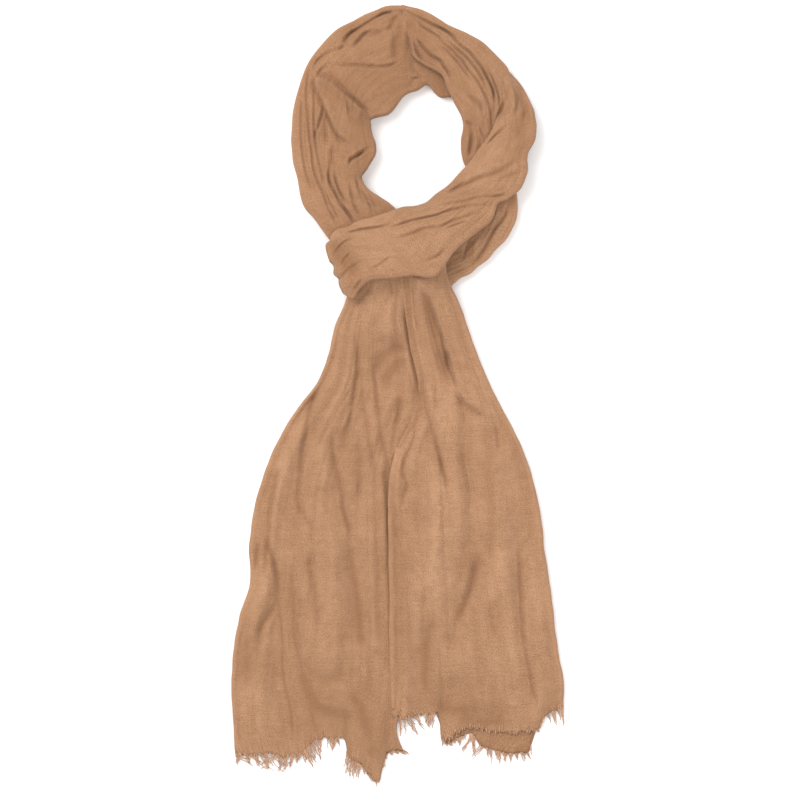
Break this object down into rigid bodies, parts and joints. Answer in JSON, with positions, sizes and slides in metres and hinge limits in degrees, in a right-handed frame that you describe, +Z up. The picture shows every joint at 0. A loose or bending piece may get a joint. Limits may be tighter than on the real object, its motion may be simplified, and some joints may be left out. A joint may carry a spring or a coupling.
{
  "type": "pashmina shawl, knotted and laid flat",
  "caption": "Plain camel pashmina shawl with short fringed ends, folded in half, its ends drawn through the fold's loop round an open neck ring and laid flat on a surface.",
  "frame": {"origin": "bottom centre of the part's bounding box, on the surface it lies on", "axes": "+Z up from the surface, +Y from the fringed ends towards the neck ring, +X to the right seen from above"},
  "size_m": [0.2992, 0.697, 0.0465],
  "materials": {
    "cloth": "matt, soft napped twill",
    "fringe": "matt, loose yarn ends"
  },
  "bodies": {
    "root": {"neck_left": "cloth", "neck_right": "cloth", "loop_front": "cloth", "loop_back": "cloth", "tail_left": "cloth", "tail_right": "cloth", "fringe_left_upper_1": "fringe", "fringe_left_upper_2": "fringe", "fringe_left_under_3": "fringe", "fringe_left_under_4": "fringe", "fringe_right_upper_5": "fringe", "fringe_right_upper_6": "fringe", "fringe_right_under_7": "fringe", "fringe_right_under_8": "fringe", "fringe_right_upper_9": "fringe"}
  },
  "joints": []
}
